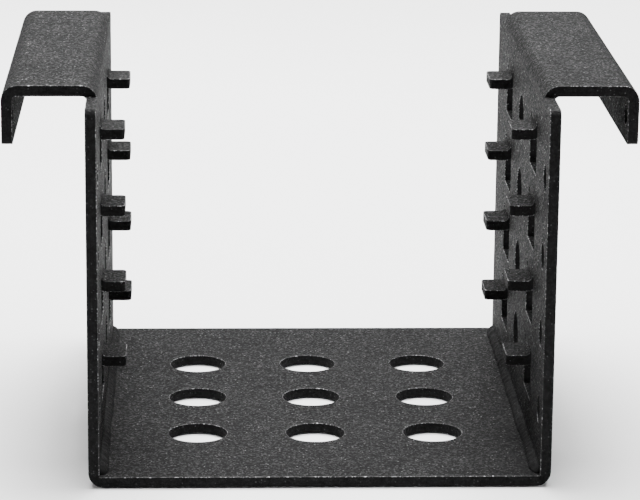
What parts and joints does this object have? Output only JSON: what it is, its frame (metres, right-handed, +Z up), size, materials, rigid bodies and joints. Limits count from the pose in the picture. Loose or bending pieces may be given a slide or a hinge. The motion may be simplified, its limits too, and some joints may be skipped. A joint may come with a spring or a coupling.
{
  "type": "cpu holder",
  "caption": "Open welded U of black powder-coated sheet steel with a perforated base, tabbed sides and hooked flanges, for hanging small computers under a desk.",
  "frame": {"origin": "on the underside of the base, in the middle of its width and depth", "axes": "+Z up, +X to the right side plate, -Y to the open front, +Y to the open back"},
  "size_m": [0.258, 0.215, 0.162],
  "materials": {
    "textured_powder_coat": "fine-textured black powder coat with metallic flecks, satin",
    "coated_weld": "the same black powder coat over weld metal, smoother and with fewer flecks"
  },
  "bodies": {
    "root": {"base_plate": "textured_powder_coat", "left_side_plate": "textured_powder_coat", "right_side_plate": "textured_powder_coat", "left_outer_weld": "coated_weld", "right_outer_weld": "coated_weld", "left_inner_weld": "coated_weld", "right_inner_weld": "coated_weld"}
  },
  "joints": []
}
